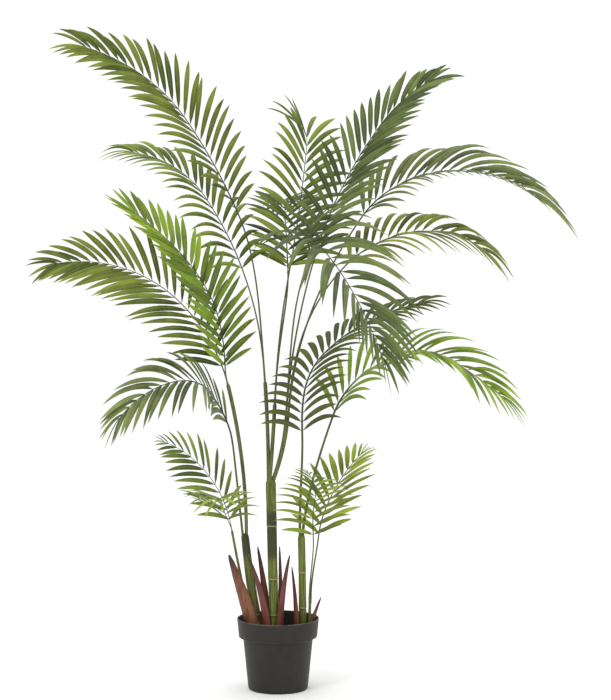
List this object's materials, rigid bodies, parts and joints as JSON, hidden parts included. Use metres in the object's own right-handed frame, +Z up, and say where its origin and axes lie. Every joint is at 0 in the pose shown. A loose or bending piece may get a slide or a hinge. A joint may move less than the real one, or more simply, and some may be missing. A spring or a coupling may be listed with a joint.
{
  "type": "potted palm",
  "caption": "Feather-leaved palm with clustered upright canes, dry leaf bases and arching fronds, growing in a tapered collared nursery pot that stands on the floor.",
  "frame": {"origin": "centre of the pot's flat underside, on the floor", "axes": "+Z up, -Y towards the front the plant is seen from, +X to the viewer's right"},
  "size_m": [1.3442, 0.8894, 1.5857],
  "materials": {
    "pot": "moulded dark charcoal plastic, slightly scuffed",
    "soil": "dark crumbly potting mix",
    "cane": "smooth waxy green with brown blotches and pale leaf scars",
    "sheath": "dry fibrous reddish brown",
    "frond": "satin green leaf, paler along the midrib"
  },
  "bodies": {
    "root": {"pot": "pot", "soil": "soil", "left_cane": "cane", "centre_cane": "cane", "right_cane": "cane", "young_left_shoot": "cane", "young_right_shoot": "cane", "left_shaft": "cane", "centre_left_shaft": "cane", "centre_front_shaft": "cane", "centre_right_shaft": "cane", "sheath_left_outer": "sheath", "sheath_left_inner": "sheath", "sheath_centre_left": "sheath", "sheath_centre_rear": "sheath", "sheath_centre_right": "sheath", "sheath_right_inner": "sheath", "sheath_right_outer": "sheath", "frond_top_left": "frond", "frond_upper_left": "frond", "frond_bright_left": "frond", "frond_wide_left": "frond", "frond_low_left": "frond", "frond_young_left_back": "frond", "frond_young_left_front": "frond", "frond_young_right_front": "frond", "frond_young_right_back": "frond", "frond_low_right": "frond", "frond_front_drooping": "frond", "frond_mid_right": "frond", "frond_far_right": "frond", "frond_top_right": "frond", "frond_top_centre": "frond", "frond_back": "frond", "frond_low_centre": "frond"}
  },
  "joints": []
}
